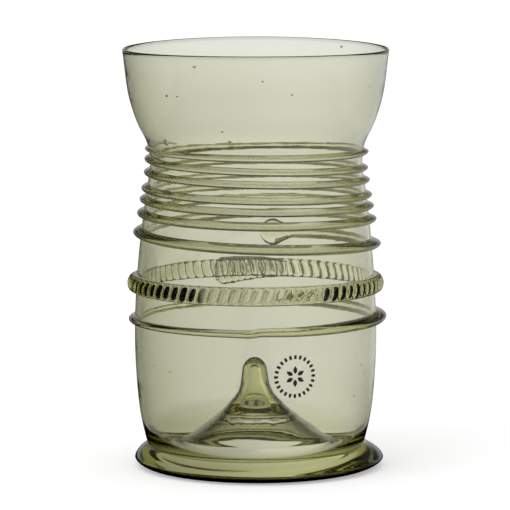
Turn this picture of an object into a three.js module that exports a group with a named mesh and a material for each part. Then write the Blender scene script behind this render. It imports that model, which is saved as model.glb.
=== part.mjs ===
// A hand-blown green drinking glass of an old forest-glass form: a flared beaker with a pushed-in
// base, a foot ring laid round it, and three trails of hot glass wound round its wall.
//
// Millimetres, +Z up. The origin is on the axis, at the level that the foot ring stands on, and the
// front of the glass is towards -Y. Angles are measured from +X towards +Y.

import * as THREE from "three";

// Clearance between the wall and whatever is laid on it
const seatGap = 0.3;

// Outer wall, from the crease above the foot ring up to the lip. Each rise is counted from the
// station below it, so a longer stretch lifts all that is above it.
const creaseHeight = 6.6;
const creaseRadius = 32.6;
const heelRise = 8.9;
const heelRadius = 34.6;
const lowerBellyRise = 11.0;
const lowerBellyRadius = 35.8;
const bellyRise = 12.8;
const bellyRadius = 36.3;
const upperBellyRise = 15.7;
const upperBellyRadius = 35.75;
const waistRise = 17.0;
const waistRadius = 34.15;
const collarRise = 12.0;
const collarRadius = 32.5;
const neckRise = 8.8;
const neckRadius = 31.6;
const throatRise = 5.2;
const throatRadius = 32.6;
const flareRise = 5.0;
const flareRadius = 35.15;
const shoulderRise = 6.0;
const shoulderRadius = 37.25;
const lipRise = 15.2;
const lipRadius = 39.7;

// Thickness of the blown wall, and where it thickens towards the base
const wallThickness = 1.25;
const heelThickness = 2.6;
const heelBlend = 12.0;
const lipBead = 0.35;

// Kick: the dome pushed up into the bowl, from the trough round it to the nipple on top
const troughRadius = 27.0;
const troughHeight = 5.0;
const hemRadius = 23.0;
const hemRise = 2.2;
const skirtRadius = 16.4;
const skirtRise = 5.2;
const kickWaistRadius = 10.1;
const kickWaistRise = 5.0;
const stemRadius = 6.4;
const stemRise = 3.8;
const nippleFootRadius = 4.8;
const nippleFootRise = 4.0;
const nippleRadius = 3.9;
const nippleRise = 3.5;
const nippleDome = 4.0;
const kickThickness = 2.5;
const foldThickness = 2.2;

// Foot ring: a thick coil, laid on a little off the centre. Its reach is counted from the crease.
const footReach = 4.8;
const footOffset = 1.05;
const footWidestHeight = 2.8;
const footFlatInset = 1.0;
const footFlatWidth = 1.4;
const footTuckAngle = 62;

// Lower trail: a plain ring, thicker towards the right, its ends stepped past each other in front
const lowerTrailHeight = 45.0;
const lowerTrailTiltHeight = 0.4;
const lowerTrailThin = 2.1;
const lowerTrailThick = 3.9;
const lowerTrailReachLeft = 1.9;
const lowerTrailReachRight = 3.1;
const lowerTrailStepHeight = 0.5;
const lowerTrailJoinAngle = 270;
const lowerTrailJoinSpread = 12;

// Notched trail: a broad band rolled with a toothed wheel, its ends overlapping at the back
const notchCount = 74;
const notchDepth = 0.75;
const notchSlant = 0.3;
const notchedTrailHeight = 55.6;
const notchedTrailWidth = 4.7;
const notchedTrailReach = 2.65;
const bandPadAngle = 93;
const bandPadWidth = 8.4;
const bandPadDrop = 1.7;
const bandPadSpread = 18.0;

// Spiral trail: one thread that climbs clockwise, seen from above, from a flat drop on the back
// wall. The climbs are those of each half turn, from the right-hand side to the left and back.
const spiralStartAngle = 88;
const spiralStartHeight = 66.5;
const spiralFirstHeight = 67.2;
const halfTurnClimbs = [3.7, 3.9, 1.8, 2.1, 2.1, 1.2, 2.1, 2.4, 2.4, 1.2, 2.7, 2.1, 1.0];
const spiralTailAngle = 46;
const threadStartWidth = 3.4;
const threadWidth = 2.15;
const threadStartReach = 3.0;
const threadReach = 1.7;
const threadThinning = 1.3;
const dropWidth = 7.8;
const dropLength = 15.0;
const dropTip = 0.25;
const dropEdgeShare = 0.35;
const nubWidth = 3.1;
const nubSpread = 2.2;
const whiskerLength = 6.5;
const whiskerWidth = 1.1;

// Pontil scar: the jagged ring left under the kick
const scarRadius = 11.0;
const scarWidth = 1.2;
const scarHeight = 0.9;
const scarJag = 0.35;

// Label: a round clear film on the front wall
const labelAngle = -71.3;
const labelHeight = 32.0;
const labelRadius = 7.0;
const labelThickness = 0.2;

// How finely the curves are cut into flats
const bowlSides = 48;
const footSides = 56;
const ringSides = 60;
const stepsPerNotch = 3;
const stepsPerTurn = 28;
const dropSteps = 8;
const tailSteps = 7;
const scarSides = 40;
const labelSides = 24;

const degrees = Math.PI / 180;

function smoothStep(from, to, value) {
  const t = Math.min(Math.max((value - from) / (to - from), 0), 1);
  return t * t * (3 - 2 * t);
}

// The stations of the outer wall, with the slope of the curve at each: that of the parabola
// through the station and its two neighbours.
const wallStations = [];
for (const [rise, radius] of [
  [creaseHeight, creaseRadius],
  [heelRise, heelRadius],
  [lowerBellyRise, lowerBellyRadius],
  [bellyRise, bellyRadius],
  [upperBellyRise, upperBellyRadius],
  [waistRise, waistRadius],
  [collarRise, collarRadius],
  [neckRise, neckRadius],
  [throatRise, throatRadius],
  [flareRise, flareRadius],
  [shoulderRise, shoulderRadius],
  [lipRise, lipRadius],
]) {
  const below = wallStations.at(-1);
  const height = rise + (below ? below.height : 0);
  wallStations.push({ height, radius });
}

function chordSlope(a, b) {
  return (b.radius - a.radius) / (b.height - a.height);
}

wallStations.forEach((station, i) => {
  const below = wallStations[i - 1] ?? station;
  const above = wallStations[i + 1] ?? station;
  if (below === station) station.slope = chordSlope(station, above);
  else if (above === station) station.slope = chordSlope(below, station);
  else {
    const under = station.height - below.height;
    const over = above.height - station.height;
    const climb = chordSlope(below, station) * over + chordSlope(station, above) * under;
    station.slope = climb / (under + over);
  }
});

const lipHeight = wallStations.at(-1).height;

// Outer radius of the bowl at a height: a cubic between the two stations round it.
function wallRadius(height) {
  const last = wallStations.length - 1;
  let i = 1;
  while (i < last && wallStations[i].height < height) i += 1;
  const a = wallStations[i - 1];
  const b = wallStations[i];
  const span = b.height - a.height;
  const t = Math.min(Math.max((height - a.height) / span, 0), 1);
  const rise = t * t * (3 - 2 * t);
  const leave = t * (1 - t) * (1 - t) * span * a.slope;
  const arrive = t * t * (t - 1) * span * b.slope;
  return a.radius + (b.radius - a.radius) * rise + leave + arrive;
}

// Thickness of the wall at a height: even above, and growing into the heel.
function wallThicknessAt(height) {
  const heelTop = creaseHeight + heelRise / 2 + heelBlend;
  const share = smoothStep(heelTop, heelTop - heelBlend, height);
  return wallThickness + (heelThickness - wallThickness) * share;
}

// A quarter of an ellipse round a centre, from one angle to another, as profile points.
function ellipseArc(centre, radii, fromAngle, toAngle, steps) {
  const points = [];
  for (let i = 0; i <= steps; i += 1) {
    const angle = (fromAngle + ((toAngle - fromAngle) * i) / steps) * degrees;
    points.push([centre[0] + radii[0] * Math.cos(angle), centre[1] + radii[1] * Math.sin(angle)]);
  }
  return points;
}

// The upper face of the kick, as profile points from the trough up to the tip on the axis.
function kickTop() {
  const flank = [[troughRadius, troughHeight]];
  for (const [radius, rise] of [
    [hemRadius, hemRise],
    [skirtRadius, skirtRise],
    [kickWaistRadius, kickWaistRise],
    [stemRadius, stemRise],
    [nippleFootRadius, nippleFootRise],
    [nippleRadius, nippleRise],
  ]) {
    flank.push([radius, flank.at(-1)[1] + rise]);
  }
  const curve = new THREE.CatmullRomCurve3(
    flank.map(([radius, height]) => new THREE.Vector3(radius, height, 0)),
    false,
    "centripetal",
  );
  const points = curve.getPoints(9).map((p) => [p.x, p.y]);
  const dome = ellipseArc([0, flank.at(-1)[1]], [nippleRadius, nippleDome], 0, 90, 3);
  return [...points, ...dome.slice(1, -1), [0, dome.at(-1)[1]]];
}

// The underside of the kick: its upper face, moved square to itself by the thickness there.
function kickUnderside(top) {
  const last = top.length - 1;
  return top.map(([radius, height], i) => {
    const thickness = foldThickness + ((kickThickness - foldThickness) * i) / last;
    if (i === 0) return [radius, height - foldThickness];
    if (i === last) return [0, height - kickThickness];
    const along = [top[i + 1][0] - top[i - 1][0], top[i + 1][1] - top[i - 1][1]];
    const length = Math.hypot(...along);
    const inward = (-along[1] / length) * thickness;
    const down = (along[0] / length) * thickness;
    return [Math.max(radius + inward, 0), height + down];
  });
}

const kickTopProfile = kickTop();
const kickUnderProfile = kickUnderside(kickTopProfile);

// Height of the underside of the kick at a radius, on the flats between its profile points.
function undersideHeight(radius) {
  let i = 1;
  while (i < kickUnderProfile.length - 1 && kickUnderProfile[i][0] > radius) i += 1;
  const [outerRadius, outerHeight] = kickUnderProfile[i - 1];
  const [innerRadius, innerHeight] = kickUnderProfile[i];
  const t = (outerRadius - radius) / (outerRadius - innerRadius);
  return outerHeight + (innerHeight - outerHeight) * t;
}

// The heights at which the wall has profile points, closest where it bends most.
function wallHeights() {
  const heights = [];
  wallStations.slice(0, -1).forEach((station, i) => {
    const next = wallStations[i + 1];
    const bend = Math.abs(next.slope - station.slope);
    const steps = bend > 0.05 ? 2 : 1;
    for (let k = 0; k < steps; k += 1) {
      heights.push(station.height + ((next.height - station.height) * k) / steps);
    }
  });
  return [...heights, lipHeight];
}

// Bowl: one closed profile, from the underside of the kick round the fold, up the outer wall, over
// the rounded lip, down the inner wall and up the kick again, turned about the axis.
function bowlGeometry() {
  const fold = ellipseArc(
    [troughRadius, creaseHeight],
    [creaseRadius - troughRadius, creaseHeight - troughHeight + foldThickness],
    -90,
    0,
    4,
  );
  const heights = wallHeights();
  const outer = heights.map((z) => [wallRadius(z), z]);
  const lipReach = wallThickness / 2 + lipBead;
  const lipCentre = [lipRadius - lipReach, lipHeight + lipReach];
  const lip = ellipseArc(lipCentre, [lipReach, lipReach], 0, 210, 5);
  const troughTop = creaseHeight + heelRise / 2;
  const inner = heights
    .filter((z) => z > troughTop)
    .reverse()
    .map((z) => [wallRadius(z) - wallThicknessAt(z), z]);
  const trough = ellipseArc(
    [troughRadius, troughTop],
    [wallRadius(troughTop) - wallThicknessAt(troughTop) - troughRadius, troughTop - troughHeight],
    0,
    -90,
    3,
  );
  const profile = [
    ...[...kickUnderProfile].reverse(),
    ...fold.slice(1, -1),
    ...outer,
    ...lip,
    ...inner,
    ...trough.slice(0, -1),
    ...kickTopProfile,
  ];
  const points = profile.map(([radius, height]) => new THREE.Vector2(radius, height));
  return new THREE.LatheGeometry(points, bowlSides).rotateX(Math.PI / 2);
}

// A solid swept round the axis. Each ring of corners lists [angle, radius, height] in the order
// bottom, outside, top, seat. An open sweep is closed by a flat end; a closed one joins itself.
function sweptGeometry(rings, isClosed) {
  const corners = rings[0].length;
  const positions = [];
  for (const ring of rings) {
    for (const [angle, radius, height] of ring) {
      positions.push(radius * Math.cos(angle), radius * Math.sin(angle), height);
    }
  }
  const faces = [];
  const spans = isClosed ? rings.length : rings.length - 1;
  for (let i = 0; i < spans; i += 1) {
    const here = i * corners;
    const next = ((i + 1) % rings.length) * corners;
    for (let k = 0; k < corners; k += 1) {
      const up = (k + 1) % corners;
      faces.push(here + k, next + k, next + up, here + k, next + up, here + up);
    }
  }
  if (!isClosed) {
    const end = (rings.length - 1) * corners;
    for (let k = 1; k < corners - 1; k += 1) {
      faces.push(0, k, k + 1, end, end + k + 1, end + k);
    }
  }
  const geometry = new THREE.BufferGeometry();
  geometry.setAttribute("position", new THREE.Float32BufferAttribute(positions, 3));
  geometry.setIndex(faces);
  geometry.computeVertexNormals();
  return geometry;
}

// Where the corners of a rounded trail lie: the share of its half width above its middle line, and
// the share of its reach beyond the wall. The first and last corners are on the seat.
const roundedCorners = [
  [-1, 0],
  [-0.86, 0.55],
  [-0.4, 0.93],
  [0.25, 1],
  [0.8, 0.62],
  [1, 0],
];

// One ring of corners of a trail that sits on the wall.
function trailRing(angle, height, width, reach, corners = roundedCorners, lean = 0) {
  return corners.map(([up, out]) => {
    const z = height + (up * width) / 2;
    const proud = Math.max(reach - seatGap, 0) * out;
    return [angle + (lean * (z - height)) / wallRadius(z), wallRadius(z) + seatGap + proud, z];
  });
}

// Foot ring: its inner side follows the fold of the bowl, its underside is flat where it stands,
// and its crown slopes up to the crease. It is drawn out further on the right than on the left.
function footGeometry() {
  const foldHeight = creaseHeight - troughHeight + foldThickness;
  const seat = ellipseArc(
    [troughRadius, creaseHeight],
    [creaseRadius - troughRadius + seatGap, foldHeight + seatGap],
    0,
    -footTuckAngle,
    5,
  );
  const seatFoot = seat.at(-1);
  const crown = seat[0];
  const rings = [];
  for (let i = 0; i < footSides; i += 1) {
    const angle = (2 * Math.PI * i) / footSides;
    const shift = footOffset * Math.cos(angle);
    const widest = creaseRadius + footReach + shift;
    const flatInner = creaseRadius - footFlatInset + shift / 2;
    const flatOuter = flatInner + footFlatWidth;
    const belowWidest = ellipseArc(
      [flatOuter, footWidestHeight],
      [widest - flatOuter, footWidestHeight],
      -90,
      0,
      3,
    );
    const aboveWidest = ellipseArc(
      [crown[0], footWidestHeight],
      [widest - crown[0], crown[1] - footWidestHeight],
      0,
      90,
      4,
    );
    const section = [
      [(flatInner + seatFoot[0]) / 2, seatFoot[1] / 3],
      [flatInner, 0],
      ...belowWidest,
      ...aboveWidest.slice(1),
      ...seat.slice(1),
    ];
    rings.push(section.map(([radius, height]) => [angle, radius, height]));
  }
  return sweptGeometry(rings, true);
}

// Lower trail: a closed ring whose width and reach grow from the left to the right.
function lowerTrailGeometry() {
  const rings = [];
  for (let i = 0; i < ringSides; i += 1) {
    const turn = (360 * i) / ringSides;
    const angle = turn * degrees;
    const share = (1 + Math.cos(angle)) / 2;
    const width = lowerTrailThin + (lowerTrailThick - lowerTrailThin) * share ** 2;
    const reach = lowerTrailReachLeft + (lowerTrailReachRight - lowerTrailReachLeft) * share;
    const pastJoin = turn - lowerTrailJoinAngle;
    const fade = Math.exp(-((pastJoin / lowerTrailJoinSpread) ** 2));
    const step = Math.sign(pastJoin) * lowerTrailStepHeight * fade;
    const height = lowerTrailHeight + lowerTrailTiltHeight * Math.cos(angle) + step;
    rings.push(trailRing(angle, height, width, reach));
  }
  return sweptGeometry(rings, true);
}

// Notched trail: each notch is a slanted groove between two narrow ridges. Its floor is pressed in
// most in the middle of the band, so the top and bottom shoulders run on unbroken.
function notchedTrailGeometry() {
  const shoulders = [
    [-1, 0, 0],
    [-0.9, 0.62, 0],
    [-0.62, 1, 0.35],
    [0, 1, 1],
    [0.62, 1, 0.35],
    [0.9, 0.62, 0],
    [1, 0, 0],
  ];
  const steps = notchCount * stepsPerNotch;
  const rings = [];
  for (let i = 0; i < steps; i += 1) {
    const turn = (360 * i) / steps;
    const angle = turn * degrees;
    const offPad = (turn - bandPadAngle) / bandPadSpread;
    const pad = Math.exp(-(offPad ** 4));
    const width = notchedTrailWidth + (bandPadWidth - notchedTrailWidth) * pad;
    const height = notchedTrailHeight - bandPadDrop * pad;
    const isRidge = i % stepsPerNotch === 0;
    const corners = shoulders.map(([up, out, pressed]) => {
      const groove = isRidge ? 0 : (pressed * notchDepth) / (notchedTrailReach - seatGap);
      return [up, out - groove];
    });
    rings.push(trailRing(angle, height, width, notchedTrailReach, corners, notchSlant));
  }
  return sweptGeometry(rings, true);
}

// Height of the middle of the spiral thread, after a turn in degrees from its start.
function spiralHeight(turned) {
  const fromRight = (turned - spiralStartAngle) / 180;
  if (fromRight < 0) {
    const share = smoothStep(0, spiralStartAngle, turned);
    return spiralStartHeight + (spiralFirstHeight - spiralStartHeight) * share;
  }
  let height = spiralFirstHeight;
  let left = fromRight;
  for (const climb of halfTurnClimbs) {
    if (left <= 1) return height + climb * left;
    height += climb;
    left -= 1;
  }
  return height + halfTurnClimbs.at(-1) * left * 0.5;
}

const spiralTurned = spiralStartAngle + 180 * halfTurnClimbs.length + spiralTailAngle;

// Width and reach of the thread at a length in millimetres from its start, and from its end.
function threadSize(turned, fromStart, fromEnd) {
  const thin = 1 - Math.exp(-turned / (360 * threadThinning));
  let width = threadStartWidth + (threadWidth - threadStartWidth) * thin;
  let reach = threadStartReach + (threadReach - threadStartReach) * thin;
  const half = dropWidth / 2;
  if (fromStart < half) {
    width = dropWidth * Math.sqrt(1 - (1 - fromStart / half) ** 2);
  } else {
    width += (dropWidth - width) * smoothStep(dropLength, half, fromStart);
  }
  const whisker = smoothStep(whiskerLength + nubSpread, whiskerLength - nubSpread, fromEnd);
  const nub = Math.exp(-(((fromEnd - whiskerLength - nubSpread) / nubSpread) ** 2));
  width += (whiskerWidth - width) * whisker + (nubWidth - threadWidth) * nub;
  reach += (whiskerWidth / 2 + seatGap - reach) * whisker + (threadReach / 4) * nub;
  reach *= dropEdgeShare + (1 - dropEdgeShare) * smoothStep(0, half, fromStart);
  return [width, reach];
}

// Spiral trail: one unbroken thread, with the flat drop as its first stretch and the nub and the
// whisker as its last.
function spiralTrailGeometry() {
  const rings = [];
  const middle = [];
  const total = spiralTurned * degrees * waistRadius;
  const tailLength = whiskerLength + 2 * nubSpread;
  const plainLength = total - dropLength - tailLength;
  const plainSteps = Math.round((stepsPerTurn * plainLength) / (360 * degrees * waistRadius));
  const ringsAt = [];
  for (let i = 0; i < dropSteps; i += 1) {
    ringsAt.push(dropTip + (dropLength - dropTip) * (i / dropSteps) ** 1.5);
  }
  for (let i = 0; i < plainSteps; i += 1) ringsAt.push(dropLength + (plainLength * i) / plainSteps);
  for (let i = 0; i <= tailSteps; i += 1) ringsAt.push(total - tailLength * (1 - i / tailSteps));
  for (const length of ringsAt) {
    const turned = length / waistRadius / degrees;
    const height = spiralHeight(turned);
    const [width, reach] = threadSize(turned, length, total - length);
    const angle = (spiralStartAngle - turned) * degrees;
    rings.push(trailRing(angle, height, width, reach));
    middle.push({ turned, low: height - width / 2, high: height + width / 2 });
  }
  printLeastGap(middle);
  return sweptGeometry(rings.reverse(), false);
}

// The least clear height between one turn of the thread and the turn above it.
function printLeastGap(middle) {
  let least = Infinity;
  for (const here of middle) {
    const above = here.turned + 360;
    const i = middle.findIndex((ring) => ring.turned >= above);
    if (i < 1) continue;
    const low = Math.min(middle[i - 1].low, middle[i].low);
    least = Math.min(least, low - here.high);
  }
  console.log("least gap of the spiral thread to itself: " + least.toFixed(2) + " mm");
}

// Pontil scar: a ring of broken glass that hangs from the underside of the kick, its edge jagged.
function scarGeometry() {
  const rings = [];
  for (let i = 0; i < scarSides; i += 1) {
    const angle = (2 * Math.PI * i) / scarSides;
    const jag = Math.sin(5 * angle) + 0.6 * Math.sin(11 * angle + 1) + 0.4 * Math.sin(17 * angle + 2);
    const radius = scarRadius + (scarJag * jag) / 2;
    const depth = scarHeight * (1 + (jag * scarJag) / 2);
    const inner = radius - scarWidth / 2;
    const outer = radius + scarWidth / 2;
    const innerSeat = undersideHeight(inner) - seatGap * 1.6;
    const outerSeat = undersideHeight(outer) - seatGap * 1.6;
    rings.push(
      [
        [inner + 0.15, innerSeat - depth * 0.9],
        [outer - 0.35, outerSeat - depth],
        [outer, outerSeat - depth * 0.35],
        [outer, outerSeat],
        [inner, innerSeat],
      ].map(([r, z]) => [angle, r, z]),
    );
  }
  return sweptGeometry(rings, true);
}

// Label film: a thin round patch that bends with the wall.
function labelGeometry() {
  const positions = [];
  const faces = [];
  const place = (radius, angle, lift) => {
    const z = labelHeight + radius * Math.sin(angle);
    const out = wallRadius(z) + seatGap + lift;
    const round = labelAngle * degrees + (radius * Math.cos(angle)) / wallRadius(labelHeight);
    positions.push(out * Math.cos(round), out * Math.sin(round), z);
  };
  const ringRadii = [labelRadius / 2, labelRadius];
  for (const lift of [0, labelThickness]) {
    place(0, 0, lift);
    for (const radius of ringRadii) {
      for (let i = 0; i < labelSides; i += 1) place(radius, (2 * Math.PI * i) / labelSides, lift);
    }
  }
  const layer = 1 + 2 * labelSides;
  for (let i = 0; i < labelSides; i += 1) {
    const next = (i + 1) % labelSides;
    const corner = (level, ring, k) => level * layer + 1 + ring * labelSides + k;
    for (const level of [0, 1]) {
      const a = corner(level, 0, i);
      const b = corner(level, 0, next);
      const c = corner(level, 1, i);
      const d = corner(level, 1, next);
      const cap = [level * layer, a, b, a, c, d, a, d, b];
      faces.push(...(level ? cap : cap.reverse()));
    }
    const low = [corner(0, 1, i), corner(0, 1, next)];
    const high = [corner(1, 1, i), corner(1, 1, next)];
    faces.push(low[0], low[1], high[1], low[0], high[1], high[0]);
  }
  const geometry = new THREE.BufferGeometry();
  geometry.setAttribute("position", new THREE.Float32BufferAttribute(positions, 3));
  geometry.setIndex(faces);
  geometry.computeVertexNormals();
  return geometry;
}

function glass(color) {
  return new THREE.MeshStandardMaterial({ color, roughness: 0.06, metalness: 0 });
}

function addPiece(group, name, geometry, material) {
  const mesh = new THREE.Mesh(geometry, material);
  mesh.name = name;
  group.add(mesh);
}

const beaker = new THREE.Group();
addPiece(beaker, "bowl", bowlGeometry(), glass(0xb9ba9a));
addPiece(beaker, "foot_ring", footGeometry(), glass(0x9fa07a));
addPiece(beaker, "lower_trail", lowerTrailGeometry(), glass(0x9c9d7c));
addPiece(beaker, "notched_trail", notchedTrailGeometry(), glass(0x8f9070));
addPiece(beaker, "spiral_trail", spiralTrailGeometry(), glass(0x9c9d7c));
addPiece(beaker, "pontil_scar", scarGeometry(), glass(0x85865f));
const film = new THREE.MeshStandardMaterial({ color: 0xd9dac4, roughness: 0.3, metalness: 0 });
addPiece(beaker, "label_film", labelGeometry(), film);

export default beaker;
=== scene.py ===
# %% [markdown]
# # A hand-blown green drinking glass
#
# The glass is a flared beaker with a pushed-in base. A thick ring is laid round its foot, and three
# trails of hot glass are wound round its wall. This file dresses the imported solids of the glass with
# smooth surfaces and with a clear glass material, a step at a time.
#
# The imported model is loaded first, because every piece below stands where its solid stands.

import math

import bpy
import numpy as np
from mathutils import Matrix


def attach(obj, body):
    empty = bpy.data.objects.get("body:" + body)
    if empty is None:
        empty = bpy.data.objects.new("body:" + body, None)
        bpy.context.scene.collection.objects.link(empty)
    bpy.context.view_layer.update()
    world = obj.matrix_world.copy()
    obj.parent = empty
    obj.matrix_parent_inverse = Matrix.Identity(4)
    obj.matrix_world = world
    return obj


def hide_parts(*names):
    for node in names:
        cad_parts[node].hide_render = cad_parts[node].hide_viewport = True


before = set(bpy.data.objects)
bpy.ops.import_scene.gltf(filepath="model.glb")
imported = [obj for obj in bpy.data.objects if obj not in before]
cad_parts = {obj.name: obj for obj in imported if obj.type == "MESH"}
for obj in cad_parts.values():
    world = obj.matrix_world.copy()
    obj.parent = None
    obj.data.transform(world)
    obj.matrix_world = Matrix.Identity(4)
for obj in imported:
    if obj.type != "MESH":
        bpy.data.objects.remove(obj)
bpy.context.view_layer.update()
scene = bpy.context.scene
print("solids loaded:", ", ".join(sorted(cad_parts)))

# %% [markdown]
# ## From arrays of points to a mesh
#
# Glass bends light at every face, so a coarse mesh would show as ripples. Each piece is therefore
# worked out as a grid of points, hundreds of them round the axis. Modelling tools could give such a
# grid too, but a formula says what it means: each point has an angle, a radius and a height, and any
# of them may depend on the others.
#
# A piece is made of blocks. A block is a list of rings, one after another, like hoops along a hose.
# Either the last hoop meets the first, or both ends are closed with a small fan of triangles.

# %% Helper: rings of points become a closed mesh
MM = 0.001


def block_faces(count, size, joined, start):
    """Quads between each ring and the next, wrapped round; with open ends, a fan to one point each."""
    rings = np.arange(count if joined else count - 1)[:, None] * size
    after = (rings + size) % (count * size)
    here = np.arange(size)[None, :]
    there = (here + 1) % size
    quads = np.stack([rings + here, rings + there, after + there, after + here], axis=-1)
    quads = quads.reshape(-1, 4) + start
    if joined:
        return quads, np.zeros((0, 3), int)
    column = np.arange(size)
    first, last = start + count * size, start + count * size + 1
    low = np.stack([start + (column + 1) % size, start + column, np.full(size, first)], axis=-1)
    top = start + (count - 1) * size
    high = np.stack([top + column, top + (column + 1) % size, np.full(size, last)], axis=-1)
    return quads, np.concatenate([low, high])


def signed_volume(points, quads, fans):
    """A sixth of the sum of the triple products of each triangle: positive when faces point out."""
    triangles = np.concatenate([quads[:, [0, 1, 2]], quads[:, [0, 2, 3]], fans])
    a, b, c = (points[triangles[:, k]] for k in range(3))
    return np.einsum("ij,ij->i", a, np.cross(b, c)).sum() / 6


def mesh_from_rings(name, blocks, sharp_degrees=180.0, marks=None):
    """One mesh from several blocks of rings in millimetres, each turned so that its faces point out.
    Marks, where given, hold a share for each point of each ring, kept as the attribute groove, which
    sets painted shade in the glass."""
    points, faces, total = [], [], 0
    for rings, joined in blocks:
        count, size, _ = rings.shape
        flat = rings.reshape(-1, 3)
        if not joined:
            flat = np.concatenate([flat, rings[[0, -1]].mean(axis=1)])
        quads, fans = block_faces(count, size, joined, 0)
        if signed_volume(flat, quads, fans) < 0:
            quads, fans = quads[:, ::-1], fans[:, ::-1]
        faces += (quads + total).tolist() + (fans + total).tolist()
        points.append(flat)
        total += len(flat)
    mesh = bpy.data.meshes.new(name)
    mesh.from_pydata((np.concatenate(points) * MM).tolist(), [], faces)
    mesh.shade_smooth()
    if sharp_degrees < 180:
        mesh.set_sharp_from_angle(angle=math.radians(sharp_degrees))
    if marks is not None:
        ends = [np.zeros(0 if joined else 2) for _, joined in blocks]
        shares = np.concatenate([part for mark, end in zip(marks, ends) for part in (mark.ravel(), end)])
        mesh.attributes.new("groove", "FLOAT", "POINT").data.foreach_set("value", shares)
    piece = bpy.data.objects.new(name, mesh)
    scene.collection.objects.link(piece)
    return piece


def on_the_axis(angle, radius, height):
    """Points from an angle in radians, a radius and a height, all arrays of one shape."""
    return np.stack([radius * np.cos(angle), radius * np.sin(angle), height], axis=-1)


def smooth_step(start, end, value):
    """0 before start, 1 after end, and 3t^2 - 2t^3 between them."""
    t = np.clip((value - start) / (end - start), 0.0, 1.0)
    return t * t * (3 - 2 * t)


def bell(value, centre, spread):
    """A bell curve, 1 at its centre."""
    return np.exp(-(((value - centre) / spread) ** 2))


print("mesh helper ready, lengths in millimetres times", MM)

# %% [markdown]
# ## The line of the wall
#
# The wall swells at the belly, draws in at the neck and flares to the lip. It was blown and shaped by
# hand, so its line is a soft curve through a few stations. A spline object could draw it, but the
# trails must sit exactly on the wall, and for that a radius is needed at any height. A cubic between
# neighbouring stations gives it, with the slope of the parabola through each station and its
# neighbours. The curve is then smoothed a little, because refraction shows the smallest kink.

# %% Helper: radius of the outer wall
STATION_HEIGHTS = np.array(
    [6.42, 15.5, 26.5, 39.3, 55.0, 72.0, 84.0, 92.8, 98.0, 103.0, 109.0, 125.6]
)
STATION_RADII = np.array(
    [32.5, 34.6, 35.8, 36.3, 35.75, 34.15, 32.5, 31.6, 32.6, 35.15, 37.25, 39.85]
)
LIP_HEIGHT, LIP_RADIUS = STATION_HEIGHTS[-1], STATION_RADII[-1]


def cubic_through(heights, radii, at):
    """Cubic Hermite curve whose inner slopes are those of the parabola through three stations."""
    gap = np.diff(heights)
    chord = np.diff(radii) / gap
    inner = (chord[:-1] * gap[1:] + chord[1:] * gap[:-1]) / (gap[1:] + gap[:-1])
    slope = np.concatenate([chord[:1], inner, chord[-1:]])
    i = np.clip(np.searchsorted(heights, at) - 1, 0, len(gap) - 1)
    t = (at - heights[i]) / gap[i]
    rise = t * t * (3 - 2 * t)
    leave = t * (1 - t) ** 2 * gap[i] * slope[i]
    arrive = t * t * (t - 1) * gap[i] * slope[i + 1]
    return radii[i] + (radii[i + 1] - radii[i]) * rise + leave + arrive


def smoothed(values, spread):
    """Moving average with a bell-shaped weight; both ends are carried on in a straight line."""
    reach = int(3 * spread)
    weight = bell(np.arange(-reach, reach + 1), 0, spread)
    before = 2 * values[0] - values[reach:0:-1]
    after = 2 * values[-1] - values[-2 : -reach - 2 : -1]
    return np.convolve(np.concatenate([before, values, after]), weight / weight.sum(), "valid")


WALL_HEIGHTS = np.arange(STATION_HEIGHTS[0], LIP_HEIGHT + 0.01, 0.05)
WALL_RADII = smoothed(cubic_through(STATION_HEIGHTS, STATION_RADII, WALL_HEIGHTS), 24)


def hand_sway(angle, height):
    """The wall is out of round by a tenth of a millimetre: two and three slow swells round it. The
    neck is also four tenths wider on the right."""
    oval = 0.12 * np.sin(2 * angle) * smooth_step(15, 60, height)
    neck = 0.22 * (1 + np.cos(angle)) * bell(height, 84, 17)
    return oval + neck + 0.06 * np.sin(3 * angle + 0.4) * np.sin(height / 15)


def wall_radius(angle, height):
    """Outer radius of the wall at an angle and a height."""
    return np.interp(height, WALL_HEIGHTS, WALL_RADII) + hand_sway(angle, height)


print("wall radius, narrowest and widest:", WALL_RADII.min().round(2), WALL_RADII.max().round(2))

# %% [markdown]
# ## The bowl
#
# A glassblower gathers a bubble, shapes it, and pushes its base in with a pointed tool. That leaves
# the kick: a cone inside the glass with a nipple on top and a narrow bore under it. Then the pontil
# rod takes hold below and the mouth is opened and fire-polished, which rounds the lip.
#
# The real thing is one skin of glass with two sides. A thin sheet with a Solidify modifier could make
# it, but the wall is thin above and uneven at the heel and in the kick. So both sides are drawn as
# one closed profile: under the kick, round the fold, up outside, over the lip, down inside and up the
# kick again. Turned about the axis, it is a real wall of glass that bends light at both faces, and
# the mesh is finest where the profile bends most.

# %% Profile of the bowl
WALL_THICKNESS, LIP_THICKNESS = 1.25, 0.85
CREASE_RADIUS, CREASE_HEIGHT = STATION_RADII[0], STATION_HEIGHTS[0]
FOLD_RADIUS, FOLD_HEIGHT = 27.0, 3.39
HEEL_RADII = np.array([34.5, 34.0, 33.55, 32.8, 31.3, 29.3, 27.39])
HEEL_HEIGHTS = np.array([26.0, 21.0, 16.8, 12.3, 8.8, 6.3, 5.3])
KICK_RADII = np.array([24.1, 22.0, 19.7, 12.75, 8.15, 4.9, 3.75])
KICK_HEIGHTS = np.array([6.25, 8.55, 10.34, 14.94, 18.53, 23.1, 28.7])
NIPPLE_DOME = 4.0
TUCK_RADIUS, TUCK_HEIGHT = 29.8, 1.38
HOLLOW_RADII = np.array(
    [29.8, 27.0, 24.0, 22.0, 20.0, 16.5, 13.5, 11.0, 9.0, 7.0, 5.0, 3.44, 1.94, 1.3]
)
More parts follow.
